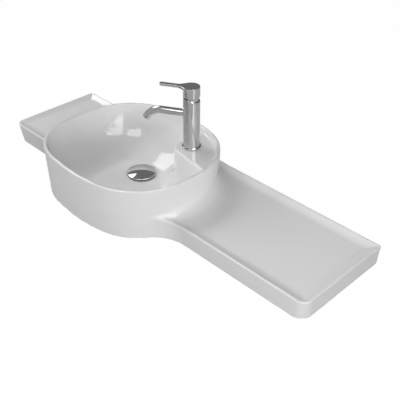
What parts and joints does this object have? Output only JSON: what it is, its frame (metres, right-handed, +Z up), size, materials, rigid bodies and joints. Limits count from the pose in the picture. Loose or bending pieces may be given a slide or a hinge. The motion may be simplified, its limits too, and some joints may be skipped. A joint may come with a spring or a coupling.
{
  "type": "wall-hung washbasin",
  "caption": "Wall-hung ceramic washbasin: oval bowl between two tray shelves, with a lever mixer tap on a ledge and a push-button waste.",
  "frame": {"origin": "on the wall plane, midway between the two wall-fixing holes, below the middle of the bowl", "axes": "+X to the right along the wall, +Y into the wall, +Z up"},
  "size_m": [1, 0.3678, 0.341],
  "materials": {
    "ceramic": "white gloss glaze",
    "chrome": "polished chrome plate on brass",
    "brass": "machined brass",
    "steel": "zinc-plated steel",
    "rubber": "matt black rubber",
    "plastic": "white moulded acetal",
    "alumina": "lapped alumina"
  },
  "bodies": {
    "root": {"basin": "ceramic", "tap_body": "chrome", "tap_base_ring": "chrome", "spout": "chrome", "trim_dome": "chrome", "aerator_shell": "chrome", "waste_body": "chrome", "cartridge_nut": "chrome", "waste_nut": "brass", "click_barrel": "brass", "fixing_stud": "steel", "stud_plate": "steel", "stud_nut": "steel", "click_spring": "steel", "tap_base_seal": "rubber", "stud_washer": "rubber", "aerator_seal": "rubber", "cartridge_seals": "rubber", "waste_seal_top": "rubber", "waste_seal_bottom": "rubber", "aerator_insert": "plastic", "cartridge_base": "plastic", "cartridge_housing": "plastic", "fixed_disc": "alumina"},
    "rotor": {"cartridge_rotor": "plastic", "spindle_pin": "steel"},
    "lever": {"handle": "chrome", "handle_screw": "steel", "cartridge_spindle": "steel"},
    "disc": {"moving_disc": "alumina", "disc_carrier": "plastic"},
    "plug": {"plug_cap": "chrome", "plug_seal": "rubber", "plug_stem": "brass"}
  },
  "joints": [
    {"name": "handle_swivel", "type": "hinge", "parent": "root", "child": "rotor", "pos_m": [0.097, -0.084, 0.231], "axis": [0, 0, 1], "range_deg": [-45, 45]},
    {"name": "handle_lift", "type": "hinge", "parent": "rotor", "child": "lever", "pos_m": [0.097, -0.084, 0.231], "axis": [-0.5, 0.866, 0], "range_deg": [0, 21]},
    {"name": "disc_slide", "type": "slide", "parent": "rotor", "child": "disc", "axis": [-0.866, -0.5, 0], "range_m": [0, 0.0042]},
    {"name": "plug_lift", "type": "slide", "parent": "root", "child": "plug", "axis": [0, 0, 1], "range_m": [0, 0.009], "deforming": ["click_spring"]}
  ],
  "couplings": [
    {"joint": "disc_slide", "follows": "handle_lift", "m_per_rad": 0.01145}
  ]
}
